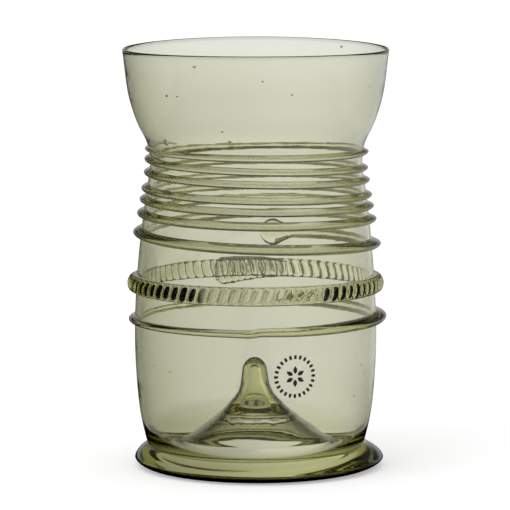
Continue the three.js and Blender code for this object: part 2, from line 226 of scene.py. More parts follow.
HOLLOW_HEIGHTS = np.array(
    [1.38, 3.39, 4.12, 6.3, 8.0, 10.6, 12.8, 14.5, 15.7, 16.6, 17.5, 20.8, 25.0, 28.6]
)
HOLLOW_DOME = 1.6


def ellipse_arc(centre, reach, start, end, count):
    """Part of an ellipse round a centre, from one angle to another, in degrees."""
    turn = np.radians(np.linspace(start, end, count))
    return np.stack([centre[0] + reach[0] * np.cos(turn), centre[1] + reach[1] * np.sin(turn)], 1)


def loose_curve(points, count):
    """Centripetal Catmull-Rom curve: cubics whose speed follows the root of each chord's length."""
    ends = [2 * points[0] - points[1], *points, 2 * points[-1] - points[-2]]
    t = np.linspace(0, 1, count, endpoint=False)[:, None]
    parts = []
    for a, b, c, d in zip(ends, ends[1:], ends[2:], ends[3:]):
        before, span, after = (np.linalg.norm(q - p) ** 0.5 for p, q in ((a, b), (b, c), (c, d)))
        leave = ((b - a) / before - (c - a) / (before + span) + (c - b) / span) * span
        arrive = ((c - b) / span - (d - b) / (span + after) + (d - c) / after) * span
        rise = t * t * (3 - 2 * t)
        parts.append(b + (c - b) * rise + leave * t * (1 - t) ** 2 + arrive * t * t * (t - 1))
    return np.concatenate([*parts, points[-1:]])


def evenly(points, step):
    """The same line with its points a fixed length apart."""
    length = np.concatenate([[0], np.cumsum(np.linalg.norm(np.diff(points, axis=0), axis=1))])
    at = np.linspace(0, length[-1], int(length[-1] / step) + 2)
    return np.stack([np.interp(at, length, points[:, k]) for k in range(2)], 1)


def flank_and_dome(radii, heights, dome):
    """A loose curve up through the given points, closed over the axis by a quarter ellipse."""
    flank = loose_curve(np.stack([radii, heights], 1), 60)
    cap = ellipse_arc((0, heights[-1]), (radii[-1], dome), 0, 90, 60)
    return evenly(np.concatenate([flank, cap[1:]]), 0.1)


def upper_face():
    """One loose curve down the inside of the heel, through the trough and up the kick, cut in two
    at the trough's deepest point."""
    radii = np.concatenate([HEEL_RADII, KICK_RADII])
    heights = np.concatenate([HEEL_HEIGHTS, KICK_HEIGHTS])
    line = flank_and_dome(radii, heights, NIPPLE_DOME)
    lowest = int(np.argmin(line[:, 1]))
    return line[: lowest + 1], line[lowest + 1 :]


heel, kick_top = upper_face()
hollow = flank_and_dome(HOLLOW_RADII, HOLLOW_HEIGHTS, HOLLOW_DOME)
kick_under = hollow[hollow[:, 0] <= FOLD_RADIUS]
foot_under = hollow[hollow[:, 0] > FOLD_RADIUS]

outer = np.stack([WALL_RADII, WALL_HEIGHTS], 1)
thinned = smooth_step(104, LIP_HEIGHT, WALL_HEIGHTS)
thickness = WALL_THICKNESS + (LIP_THICKNESS - WALL_THICKNESS) * thinned
inner = np.stack([WALL_RADII - thickness, WALL_HEIGHTS], 1)[WALL_HEIGHTS > HEEL_HEIGHTS[0]]
bead = LIP_THICKNESS / 2
lip = ellipse_arc((LIP_RADIUS - bead, LIP_HEIGHT), (bead, bead + 0.1), 0, 180, 30)
fold_reach = (CREASE_RADIUS - FOLD_RADIUS, CREASE_HEIGHT - FOLD_HEIGHT)
fold = ellipse_arc((FOLD_RADIUS, CREASE_HEIGHT), fold_reach, -90, 0, 40)
sections = [kick_under[::-1], fold[1:], outer[1:], lip, inner[::-1], heel[1:], kick_top]
print("bowl profile sections:", [len(part) for part in sections])

# %% [markdown]
# ## The profile goes round
#
# Turned exactly, as by the Screw modifier, the profile would look machine-made. A blown glass isn't
# quite round, its inner side is a little off centre in its outer side, its lip isn't level, and its
# heel is thicker where soft glass sank. So each row of points gets its own small shift.

# %% Bowl
BOWL_ROWS, BOWL_COLUMNS = 326, 288
LIP_WAVE, HEEL_EXTRA = 0.3, 1.5


def profile_rows(parts, step, spread, rows):
    """Joins the parts, rounds their corners, and keeps more points where the line bends more."""
    line = evenly(np.concatenate(parts), step)
    reach = int(3 * spread)
    mirror = np.array([-1.0, 1.0])
    padded = np.concatenate([line[reach:0:-1] * mirror, line, line[-2 : -reach - 2 : -1] * mirror])
    weight = bell(np.arange(-reach, reach + 1), 0, spread)
    weight /= weight.sum()
    line = np.stack([np.convolve(padded[:, k], weight, "valid") for k in range(2)], 1)
    along = np.gradient(line, axis=0)
    turn = np.unwrap(np.arctan2(along[:, 1], along[:, 0]))
    bend = np.abs(np.gradient(turn)) / step
    share = np.cumsum(1 + 3.2 * np.sqrt(np.minimum(bend, 4)))
    at = np.interp(np.linspace(share[0], share[-1], rows), share, np.arange(len(line)))
    kept = np.stack([np.interp(at, np.arange(len(line)), line[:, k]) for k in range(2)], 1)
    return kept, at / len(line)


def bowl_rings():
    """Each row of the profile goes round the axis. The inner side and the kick sit a little off the
    centre, the wall sways by a tenth of a millimetre, the lip rises in front and behind, and the heel is
    thicker behind. The marks, which set painted shade, are 1 on the kick, 2 on its nipple, and a half
    low down on the outside. Places along the profile are shares of its whole length."""
    profile, place = profile_rows(sections, 0.05, 6, BOWL_ROWS)
    radius, height = profile[1:-1, :1], profile[1:-1, 1:]
    place = place[1:-1, None]
    lengths = np.array([np.linalg.norm(np.diff(p, axis=0), axis=1).sum() for p in sections])
    under, _, outside, over, inside, trough, _ = np.cumsum(lengths) / lengths.sum()
    left = 1 - trough
    angle = np.linspace(0, 2 * np.pi, BOWL_COLUMNS, endpoint=False)[None, :]
    stops = [0, under * 0.2, under * 0.75, under, outside, over, inside - 0.1, inside]
    aside = [-0.4, -0.3, 0.6, 0, 0, 0.1, 0.15, 0.15]
    stops += [trough, trough + left * 0.3, trough + left * 0.8, 1]
    aside += [0.3, 0.6, -0.3, -0.4]
    shift = np.interp(place, stops, aside)
    sway = hand_sway(angle, height) * np.clip(radius / 30, 0, 1) ** 2
    wave = -LIP_WAVE * np.cos(2 * angle) * smooth_step(100, 125, height)
    thick = smooth_step(inside, inside + 0.01, place) * smooth_step(26.5, 29, radius)
    thick = HEEL_EXTRA * thick * bell(height, 9.5, 3.2) * smooth_step(-0.3, 0.7, np.sin(angle))
    points = on_the_axis(angle, radius + sway - thick, height + wave)
    points[..., 0] += shift
    # Painted shade marks on the kick, its nipple and low on the outer wall.
    kick = smooth_step(trough - 0.01, trough + 0.01, place) * (1 + smooth_step(17, 23, height))
    low = smooth_step(under, under + 0.01, place) * smooth_step(15, 8, height) * (place < outside)
    return points, np.maximum(kick, 0.5 * low) + 0 * angle


bowl_points, bowl_shade_marks = bowl_rings()
bowl = mesh_from_rings("bowl_glass", [(bowl_points, False)], marks=[bowl_shade_marks])
print("bowl:", len(bowl.data.polygons), "faces, to", round(bowl.dimensions.z / MM, 2), "mm high")

# %% [markdown]
# ## The foot ring
#
# A thick coil of soft glass is laid round the base and pressed on the marver, so it has a flat ring
# to stand on and a crown that slopes up to the wall. A torus would be too regular: this coil reaches
# out further on the right, and its section is flat below, round outside and hollowed to fit the fold
# of the bowl. The section is carried round the axis, and its inner side sinks a few hundredths of a
# millimetre into the bowl, because the two were melted into one.

# %% Foot ring
SINK = 0.04
FOOT_COLUMNS = 288
FOOT_RADIUS, FOOT_OFFSET, WIDEST_HEIGHT = 37.4, 1.05, 2.57
FLAT_OUTSIDE, FLAT_WIDTH = 32.44, 0.6


def soft_arc(centre, reach, start, end, count, power):
    """Part of an ellipse whose sine and cosine are raised to a power: over 1, its corner is flatter."""
    turn = np.radians(np.linspace(start, end, count))
    along, up = (np.sign(v) * np.abs(v) ** power for v in (np.cos(turn), np.sin(turn)))
    return np.stack([centre[0] + reach[0] * along, centre[1] + reach[1] * up], 1)


def foot_rings():
    """At each angle the section is: the end of the underside, the tuck, the flat, soft arcs out and up
    to the crease, and the seat back. The outermost radius is a mean plus an offset times the cosine of
    the angle, with a slight sway. The marks, which set painted shade, are 1 on the sole, from the flat
    outwards, and fade out below the widest line."""
    reach = (CREASE_RADIUS - FOLD_RADIUS - SINK, CREASE_HEIGHT - FOLD_HEIGHT - SINK)
    seat = ellipse_arc((FOLD_RADIUS, CREASE_HEIGHT), reach, 0, -88, 30)
    lead = evenly(foot_under[::-1], 0.3)
    rings = []
    for angle in np.linspace(0, 2 * np.pi, FOOT_COLUMNS, endpoint=False):
        shift = FOOT_OFFSET * math.cos(angle)
        widest = FOOT_RADIUS + shift + 0.08 * math.sin(4 * angle + 1) * math.sin(angle) ** 2
        flat_out = FLAT_OUTSIDE + shift / 2
        flat_in = flat_out - FLAT_WIDTH
        tuck_reach = (flat_in - TUCK_RADIUS, TUCK_HEIGHT)
        tuck = soft_arc((flat_in, TUCK_HEIGHT), tuck_reach, 180, 270, 12, 1.2)
        low_reach = (widest - flat_out, WIDEST_HEIGHT)
        below = soft_arc((flat_out, WIDEST_HEIGHT), low_reach, -90, 0, 20, 1.28)
        crown_reach = (widest - seat[0, 0], seat[0, 1] - WIDEST_HEIGHT)
        above = soft_arc((seat[0, 0], WIDEST_HEIGHT), crown_reach, 0, 90, 26, 1.27)
        section = np.concatenate([lead[:-1], tuck, below, above[1:], seat[1:]])
        turns = np.full(len(section), angle)
        rings.append(on_the_axis(turns, section[:, 0], section[:, 1]))
    # Painted shade on the sole, from the flat outwards.
    sole = np.zeros((FOOT_COLUMNS, len(section)))
    start = len(lead) - 1 + len(tuck)
    share = np.linspace(0, 1, len(below))
    sole[:, start : start + len(below)] = smooth_step(0.95, 0.75, share)
    return np.array(rings), sole


foot_points, foot_shade_marks = foot_rings()
foot = mesh_from_rings("foot_ring_glass", [(foot_points, True)], 50, [foot_shade_marks])
print("foot ring:", len(foot.data.polygons), "faces")

# %% [markdown]
# ## Trails: glass laid on glass
#
# A trail is a thread of soft glass that runs from a gather onto the turning bowl. It melts onto the
# wall, so its section is a rounded hump with a flat seat. A curve object with a bevel would give a
# full round thread that lies on the wall like wire. Here the hump is carried along the wall's own
# surface instead: for each step round the glass there is a height, a width and a reach, and the seat
# follows the wall, a little inside it.

# %% Helper: a hump of glass that follows the wall
SEAT_POINTS, THREAD_POINTS = 6, 21
BELLY_RADIUS = 36


def places_across(count):
    """From the lower edge, -1, to the upper edge, 1, close together at both, and back along the
    seat."""
    over = np.sin(np.linspace(-1, 1, count) * np.pi / 2)
    return np.concatenate([over, np.linspace(1, -1, SEAT_POINTS + 2)[1:-1]])[None, :]


def hump(across, crest, below, above):
    """1 - u^2 to a power, where u is 0 at the crest and 1 at an edge. A power under 1 makes that
    side steep, and one over 1 lets it run out softly onto the wall."""
    low = across < crest
    u = np.where(low, (crest - across) / (1 + crest), (across - crest) / (1 - crest))
    out = np.clip(1 - u * u, 0, 1) ** np.where(low, below, above)
    out[:, -SEAT_POINTS:] = 0
    return out


def trail_rings(angle, height, width, reach, section, count=THREAD_POINTS, lean=0.0, press=None):
    """Each ring holds the hump from its lower to its upper edge, then the seat back again. Section is
    the crest and the two powers of the hump. Lean slants each ring by a share of its height. Press
    is a function of the angle and the place across, in millimetres taken off the reach."""
    shape = angle.shape
    values = (angle, height, width, reach, *section)
    angle, height, width, reach, *section = (np.broadcast_to(v, shape)[:, None] for v in values)
    across = places_across(count) + 0 * angle
    out = hump(across, *section)
    z = height + across * width / 2
    turned = angle + lean * (z - height) / BELLY_RADIUS
    proud = (reach + SINK) * out
    if press is not None:
        proud = np.maximum(proud - press(angle, across) * out, 0)
    return on_the_axis(turned, wall_radius(turned, z) - SINK + proud, z)


print("trail helper ready, seat sunk by", SINK, "mm")

# %% [markdown]
# ## The lower trail
#
# The lowest trail is a single thin ring. The maker's hand slowed towards the right, so more glass ran
# on there: the thread is almost twice as wide. In front its end was laid just past its beginning,
# which leaves a small step. Width, reach and height are functions of the angle that say this.

# %% Lower trail
LOWER_COLUMNS = 480


def lower_trail_rings():
    """Width and reach grow with half of one plus the cosine of the angle; the height tilts by 0.4 mm
    towards the right, and steps up by about as much at the join in front."""
    angle = np.linspace(0, 2 * np.pi, LOWER_COLUMNS, endpoint=False)
    share = (1 + np.cos(angle)) / 2
    past = np.degrees(angle) - 270
    step = 0.22 * np.tanh(past / 1.6) * bell(past, 0, 12)
    height = 45.0 + 0.4 * np.cos(angle) + step
    return trail_rings(angle, height, 2.1 + 1.7 * share**2, 1.9 + 1.2 * share, (0.1, 0.55, 0.8))


lower_trail = mesh_from_rings("lower_trail_glass", [(lower_trail_rings(), True)])
print("lower trail:", len(lower_trail.data.polygons), "faces")

# %% [markdown]
# ## The notched trail
#
# The broad band was rolled with a toothed wheel while it was soft. The wheel leaves slanted grooves,
# each with a steep side and a gentle one, and narrow ridges between them. The top and bottom edges
# were never touched, so they run on unbroken. At the back the band's end lies over its beginning,
# which makes a wide pad with two sets of grooves.
#
# A texture could fake the grooves, but glass shows only real shape. They are pressed out of the hump
# by a function of the angle, so the mesh has fourteen steps to each groove.

# %% Notched trail
NOTCHES, STEPS_PER_NOTCH, BAND_POINTS = 74, 14, 23
# The third value is how much weaker the painted shade of the grooves is in front.
BAND_LEAN, GROOVE_DEPTH, FRONT_SHADE_EASE = 0.26, 1.35, 0.56
TONGUE_START, TONGUE_END = 111.5, 74.0


def groove_press(angle, across):
    """Depth of the groove: a wave that is skewed to one side, deepest in the middle of the band and
    nothing at its edges. Each notch differs a little in depth."""
    place = angle * NOTCHES / (2 * np.pi)
    part = place - np.floor(place)
    wave = np.sin(np.pi * part**0.75) ** 0.9
    uneven = 1 + 0.12 * np.sin(np.floor(place) * 2.4)
    middle = np.clip(1 - np.abs(across) ** 3.5, 0, 1)
    return GROOVE_DEPTH * wave * middle * uneven


def band_rings():
    """The closed band, a little wider in front and behind than at its sides."""
    steps = NOTCHES * STEPS_PER_NOTCH
    angle = np.linspace(0, 2 * np.pi, steps, endpoint=False)
    height = 55.6 - 0.2 * np.sin(angle)
    width = 5.3 - 0.3 * np.cos(2 * angle)
    section = (0.0, 0.28, 0.28)
    return trail_rings(angle, height, width, 2.75, section, BAND_POINTS, BAND_LEAN, groove_press)


def tongue_press(angle, across):
    """Depth of the second set of grooves, which are closer together and off the first."""
    place = angle * NOTCHES * 1.6 / (2 * np.pi) + 0.4
    wave = np.sin(np.pi * (place - np.floor(place))) ** 0.8
    return wave * np.clip(1 - np.abs(across - 0.1) ** 4, 0, 1)


def tongue_rings():
    """The band's end, laid over its beginning: round where it starts, 8.5 mm high there, and
    narrower and lower as it runs into the band."""
    share = np.concatenate([np.linspace(0, 1, 26)[1:] ** 1.7 * 0.16, np.linspace(0.17, 1, 170)])
    angle = np.radians(TONGUE_START + (TONGUE_END - TONGUE_START) * share)
    round_start = np.sqrt(1 - (1 - np.clip(share / 0.16, 0, 1)) ** 2)
    low = 54.0 - 4.3 * (1 - share) ** 1.2 * round_start - 1.2 * share
    high = 57.6 + 1.2 * smooth_step(1, 0.6, share)
    start_high = 55.0 + (high - 55.0) * round_start
    reach = 3.1 * np.sqrt(np.clip(share / 0.05, 0, 1)) * (1 - 0.45 * smooth_step(0.7, 1, share))
    section = (0.0, 0.25, 0.25)
    middle, width = (low + start_high) / 2, start_high - low
    return trail_rings(angle, middle, width, reach, section, BAND_POINTS, 0.1, tongue_press), angle


def groove_shade_marks(angle, press, sharpness=1, full=1.0):
    """The depth of the grooves as a share of their full depth, for each point of each ring, which sets
    the painted shade in them. A power over 1, the sharpness, leaves only the deepest. In front, a little
    to the right, the painted shade is weaker, though the grooves are as deep."""
    turned = (np.degrees(angle) + 180) % 360 - 180
    across = places_across(BAND_POINTS) + 0 * angle[:, None]
    share = full * (press(angle[:, None], across) / GROOVE_DEPTH) ** sharpness
    share[:, -SEAT_POINTS:] = 0
    # Weaker painted shade in front, a little to the right.
    less_shade_front = smooth_step(-97, -92, turned) * smooth_step(-56, -60, turned)
    return share * (1 - FRONT_SHADE_EASE * less_shade_front[:, None])


band_angle = np.linspace(0, 2 * np.pi, NOTCHES * STEPS_PER_NOTCH, endpoint=False)
tongue, tongue_angle = tongue_rings()
notched_trail = mesh_from_rings(
    "notched_trail_glass",
    [(band_rings(), True), (tongue, False)],
    marks=[
        groove_shade_marks(band_angle, groove_press),
        groove_shade_marks(tongue_angle, tongue_press, 6, 12.0),
    ],
)
print("notched trail:", len(notched_trail.data.polygons), "faces")

# %% [markdown]
# ## The spiral trail
#
# One thread climbs the upper wall in almost seven turns. It starts as a flat drop on the back wall,
# where the hot gather first touched, and runs out into a nub and a thin whisker under the neck, where
# it was pulled off. A helix with one pitch would look machine-made. The climb of each half turn is
# given instead, from the right-hand side to the left and back, and smoothed, and the thread thins as
# the gather runs out.

# %% Spiral trail
START_ANGLE, START_HEIGHT, FIRST_HEIGHT = 88.0, 66.5, 67.2
CLIMBS = np.array([3.7, 3.9, 1.8, 2.1, 2.1, 1.2, 2.1, 2.4, 2.4, 1.2, 2.7, 2.1, 1.0])
TAIL_ANGLE, TAIL_DROP = 39.0, 1.2
WOUND_ANGLE = START_ANGLE + 180 * len(CLIMBS) + TAIL_ANGLE
SPIRAL_RADIUS = 34.15
DROP_WIDTH, DROP_LENGTH, NUB_PLACE = 8.3, 10.0, 7.1


def spiral_height(turned):
    """Straight climbs between the two sides, smoothed over a tenth of a turn, then raised by up to
    0.4 mm in front and sunk as much behind. The tail sinks with nearly the third power of its share."""
    marks = np.concatenate([[0, START_ANGLE], START_ANGLE + 180 * np.arange(1, len(CLIMBS) + 1)])
    levels = np.concatenate([[START_HEIGHT, FIRST_HEIGHT], FIRST_HEIGHT + np.cumsum(CLIMBS)])
    fine = np.arange(-60, WOUND_ANGLE + 60)
    line = smoothed(np.interp(fine, marks, levels), 18)
    side = np.radians(START_ANGLE - turned)
    wound = smooth_step(40, 120, turned) * smooth_step(marks[-1], marks[-1] - 60, turned)
    tail = np.clip((turned - marks[-1]) / TAIL_ANGLE, 0, 1)
    return np.interp(turned, fine, line) - 0.4 * np.sin(side) * wound - TAIL_DROP * tail**2.9


def thread_size(turned, start, end):
    """Width and reach at a length from the start and from the end, both in millimetres. The drop is
    half of a circle that eases into the thread; the nub is a bell; the whisker is a thin end."""
    thin = 1 - np.exp(-turned / 468)
    width, reach = 3.6 - 1.3 * thin, 3.0 - 1.35 * thin
    half = DROP_WIDTH / 2
    round_end = DROP_WIDTH * np.sqrt(np.clip(1 - (1 - start / half) ** 2, 0, 1))
    eased = width + (DROP_WIDTH - width) * smooth_step(DROP_LENGTH, half, start)
    width = np.where(start < half, round_end, eased)
    drawn = smooth_step(75, 14, end)
    width, reach = width * (1 - 0.45 * drawn), reach * (1 - 0.35 * drawn)
    whisker = smooth_step(7.2, 5.4, end)
    nub = bell(end, NUB_PLACE, 1.0)
    width = width + (0.7 - width) * whisker + 0.9 * nub
    reach = reach + (0.4 - reach) * whisker + 0.45 * nub
    taper = np.sqrt(np.clip(end / 2.5, 0.02, 1))
    reach = reach * (0.42 + 0.58 * smooth_step(2, 11, start)) * taper
    return width * taper, reach


def spiral_rings():
    """The thread goes round clockwise seen from above; rings are closest at its two ends."""
    ends = np.linspace(0, 1, 40, endpoint=False) ** 1.6 * 26
    even = np.arange(26.3, WOUND_ANGLE - 24, 1.7)
    last = np.linspace(WOUND_ANGLE - 24, WOUND_ANGLE, 40)
    turned = np.concatenate([0.15 + ends, even, last])
    length = np.radians(turned) * SPIRAL_RADIUS
    width, reach = thread_size(turned, length, length[-1] - length)
    angle = np.radians(START_ANGLE - turned)
    soft = smooth_step(8, 18, length)
    section = (0.1 * soft, 0.3 + 0.4 * soft, 0.3 + 0.9 * soft)
    rings = trail_rings(angle, spiral_height(turned), width, reach, section)
    return rings, fold_shade_marks(turned[:, None], (length[-1] - length)[:, None])


def fold_shade_marks(turned, end):
    """Painted shade where the thread is folded over itself: beside the drop, above and below, at the
    nub, and on the turn before the last, where the end was pressed onto it."""
    across = places_across(THREAD_POINTS)
    above = smooth_step(0.45, 0.6, across) * smooth_step(8.5, 10, turned)
    above = above * smooth_step(20, 17, turned)
    below = smooth_step(0.4, 0.6, -across) * smooth_step(6.5, 8, turned)
    below = below * smooth_step(15.5, 13, turned)
    nub = bell(end, NUB_PLACE, 1.0)
    before = turned - (WOUND_ANGLE + 9 - 360)
    wedge = smooth_step(-2, 0, before) * smooth_step(0.0, 0.2, across - before / 16)
    # These shares of up to 2 set near-black painted shade.
    share = 2 * np.maximum(np.maximum(above, below), np.maximum(nub + 0 * across, wedge))
    share[:, -SEAT_POINTS:] = 0
    return share


spiral_points, spiral_shade_marks = spiral_rings()
spiral_trail = mesh_from_rings("spiral_trail_glass", [(spiral_points, False)], marks=[spiral_shade_marks])
print("spiral trail:", len(spiral_trail.data.polygons), "faces")

# %% [markdown]
# ## The pontil scar
#
# When the finished glass is cracked off the pontil rod, a broken ring stays under the kick. It is
# sharp and uneven. A ring with sines of several counts added to its radius and depth is uneven in the
# same way, and it is the same on every run because nothing in it is random.

# %% Pontil scar
SCAR_COLUMNS = 360


def under_height(radius):
    """Height of the underside of the kick at a radius."""
    line = kick_under[kick_under[:, 1] < 22]
    return np.interp(radius, line[::-1, 0], line[::-1, 1])


def scar_rings():
    """Five points of the section hang from the underside. Radius and depth share the same jag."""
    angle = np.linspace(0, 2 * np.pi, SCAR_COLUMNS, endpoint=False)[:, None]
    jag = np.sin(5 * angle) + 0.6 * np.sin(11 * angle + 1) + 0.4 * np.sin(17 * angle + 2)
    chips = 0.25 * np.sign(np.sin(29 * angle)) * np.sin(7 * angle)
    middle = 11.0 + 0.2 * jag
    depth = 0.7 * (1 + 0.17 * jag + chips)
    width = 0.4 + 0.1 * np.sin(13 * angle)
    across = np.array([-1.0, -0.7, 0.1, 0.7, 1.0, 0.5, -0.5])[None, :]
    hang = np.array([0.0, 0.75, 1.0, 0.5, 0.0, 0.0, 0.0])[None, :]
    radius = middle + width * across
    height = under_height(radius) + SINK - (depth + SINK) * hang
    shifted = on_the_axis(angle + 0 * radius, radius, height)
    shifted[..., 0] += 0.3
    return shifted


scar = mesh_from_rings("pontil_scar_glass", [(scar_rings(), True)], sharp_degrees=40)
print("pontil scar:", len(scar.data.polygons), "faces")

# %% [markdown]
# ## The clear film and its ornament
#
# A small round film is stuck low on the front wall. It is a disc that bends with the wall, thin as
# paper. A flat disc would cut into the round glass, so its points are placed on the wall: left and
# right become an angle, up and down a height. On it is a plain printed ornament, a ring of short
# ticks round a six-petalled rosette, made of thin raised shapes in the same way.

# %% Label film and ornament
LABEL_ANGLE, LABEL_HEIGHT, LABEL_RADIUS = math.radians(-71.3), 32.0, 7.0


def on_label(x, y, lift):
    """A flat point beside the label's centre, laid on the wall and lifted off it."""
    angle = LABEL_ANGLE + x / wall_radius(LABEL_ANGLE, LABEL_HEIGHT)
    z = LABEL_HEIGHT + y
    return on_the_axis(angle, wall_radius(angle, z) + lift, z)


def film_rings():
    """Circles from the middle of the back, round the edge, to the middle of the front."""
    turn = np.linspace(0, 2 * np.pi, 72, endpoint=False)[None, :]
    edge = [6.6, LABEL_RADIUS, LABEL_RADIUS, 6.9, 6.6]
    radius = np.array([0.5, 2.4, 4.6, *edge, 4.6, 2.4, 0.5])[:, None]
    lift = np.array([0.03, 0.03, 0.03, 0.03, 0.03, 0.08, 0.1, 0.1, 0.1, 0.1, 0.1])[:, None]
    return on_label(radius * np.cos(turn), radius * np.sin(turn), lift + 0 * turn)


def bar(start, end, half_widths, turn):
    """A thin raised shape along a ray from the centre, four corners to each step."""
    along = np.linspace(start, end, len(half_widths))[:, None]
    half = np.array(half_widths)[:, None] * np.array([-1, 1, 1, -1])[None, :]
    lift = np.array([0.09, 0.09, 0.13, 0.13])[None, :] + 0 * half
    x = along * math.cos(turn) - half * math.sin(turn)
    y = along * math.sin(turn) + half * math.cos(turn)
    return on_label(x, y, lift)


petal, tick = [0.05, 0.42, 0.6, 0.62, 0.5, 0.28, 0.05], [0.34, 0.4, 0.34]
ornament = [(bar(0.9, 3.1, petal, k * math.pi / 3 + math.pi / 2), False) for k in range(6)]
ornament += [(bar(5.2, 6.4, tick, k * math.pi / 12), False) for k in range(24)]
film = mesh_from_rings("label_film_clear", [(film_rings(), False)], sharp_degrees=50)
printed = mesh_from_rings("label_ornament", ornament, sharp_degrees=50)
print("film:", len(film.data.polygons), "faces, ornament:", len(printed.data.polygons), "faces")

# %% [markdown]
# ## Seeds in the glass
#
# Old glass is full of tiny bubbles, which glassmakers call seeds. They were drawn out a little along
# the wall as it was blown. Each is a small egg with few faces, because hundreds of faces on
# something half a millimetre across would never be seen. They sit in the middle of the wall.

# %% Seeds
SEED_ANGLES = np.array(
    [-117, -133, -127, -87, -74, -29, -101, -95, -103, -50, -106, -135, -147, -116, -29, -25, -34, 48]
)
SEED_HEIGHTS = np.array(
    [123, 114, 114, 119, 115, 116, 110, 107, 101, 100, 104, 32, 33, 31, 33, 30, 24, 124]
)
SEED_SIZES = np.array([3, 3, 2, 2, 2, 2, 1, 1, 3, 3, 2, 2, 2, 1, 2, 2, 2, 3]) * 0.12
SEED_DEPTH = 0.62


def seed_rings(angle, height, size):
    """An egg of five hoops with eight points each, longer round the wall than up it."""
    tilt = np.radians([-72, -36, 0, 36, 72])[:, None]
    turn = np.linspace(0, 2 * np.pi, 8, endpoint=False)[None, :]
    along = 1.5 * size * np.sin(tilt) + 0 * turn
    out = size * np.cos(tilt) * np.cos(turn)
    up = size * np.cos(tilt) * np.sin(turn)
    middle = wall_radius(angle, height) - SEED_DEPTH
    return on_the_axis(angle + along / middle, middle + out, height + up)


seed_blocks = [
    (seed_rings(math.radians(a), h, s), False)
    for a, h, s in zip(SEED_ANGLES, SEED_HEIGHTS, SEED_SIZES)
]
seeds = mesh_from_rings("wall_seeds", seed_blocks)
print("seeds:", len(seed_blocks))

# %% [markdown]
# ## Writing shader maths as plain arithmetic
#
# A material is a tree of nodes, and its maths is easier to read as an expression. The small class
# below wraps a node's output, so that adding or multiplying two outputs adds the Math node that does
# it. Every other node comes from one method, which takes its type, its settings and its inputs.

# %% Helper: node trees from expressions
class Signal:
    """The output of a node, which numbers and other outputs can be added to or multiplied with."""

    def __init__(self, tree, socket):
        self.tree, self.socket = tree, socket

    def math(self, operation, a, b):
        return self.tree.node("Math", {"operation": operation}, {0: a, 1: b})

    def __add__(self, other):
        return self.math("ADD", self, other)

    def __sub__(self, other):
        return self.math("SUBTRACT", self, other)

    def __rsub__(self, other):
        return self.math("SUBTRACT", other, self)

    def __mul__(self, other):
        return self.math("MULTIPLY", self, other)

    def __pow__(self, other):
        return self.math("POWER", self, other)

    def larger(self, other):
        return self.math("MAXIMUM", self, other)

    __radd__ = __add__
    __rmul__ = __mul__


class Tree:
    """Adds nodes to a material or to the world."""

    def __init__(self, owner):
        owner.use_nodes = True
        self.nodes, self.links = owner.node_tree.nodes, owner.node_tree.links
        self.nodes.clear()

    def node(self, kind, settings=None, inputs=None, output=0):
        made = self.nodes.new("ShaderNode" + kind)
        for name, value in (settings or {}).items():
            setattr(made, name, value)
        for name, value in (inputs or {}).items():
            if isinstance(value, Signal):
                self.links.new(value.socket, made.inputs[name])
            else:
                made.inputs[name].default_value = value
        return Signal(self, made.outputs[output]) if made.outputs else None

    def between(self, low, high, value):
        """0 below low, 1 above high, eased in between."""
        settings = {"interpolation_type": "SMOOTHSTEP"}
        return self.node("MapRange", settings, {"Value": value, "From Min": low, "From Max": high})

    def colour_mix(self, share, first, second):
        settings = {"data_type": "RGBA"}
        return self.node("Mix", settings, {0: share, 6: first, 7: second}, output=2)

    def light_paths(self):
        """1 for a ray of the camera, one off a mirror and one through glass, and how often light was
        scattered."""
        rays = ("Is Camera Ray", "Is Glossy Ray", "Is Transmission Ray", "Diffuse Depth")
        return [self.node("LightPath", output=ray) for ray in rays]


print("shader helper ready")

# %% [markdown]
# ## Green forest glass
#
# Forest glass is green because the sand and wood ash it was melted from hold a little iron. The
# colour is in the mass of the glass, so thick places are darker: a Volume Absorption node gives that,
# where a painted colour would be the same everywhere. The surface is a clear refracting one.
#
# Three things keep it from looking like a machine-made sheet. Slow bands of cord, which are streaks
# of glass that melted unevenly, bend the light a little through a bump. The tint drifts slightly.
# And painted shade darkens the colour of the glass towards black: at a grazing angle, on faces that look
# down, in the pressed grooves, on the sole of the foot, at folds of the thread and on the flanks of the
# kick. Glass on a bright table shows these places dark, because light from there never reaches the eye;
# here that shade is painted into the colour.

# %% Material: glass
ABSORB_COLOUR = (0.655, 0.645, 0.19, 1)
ABSORB_DENSITY = 200.0


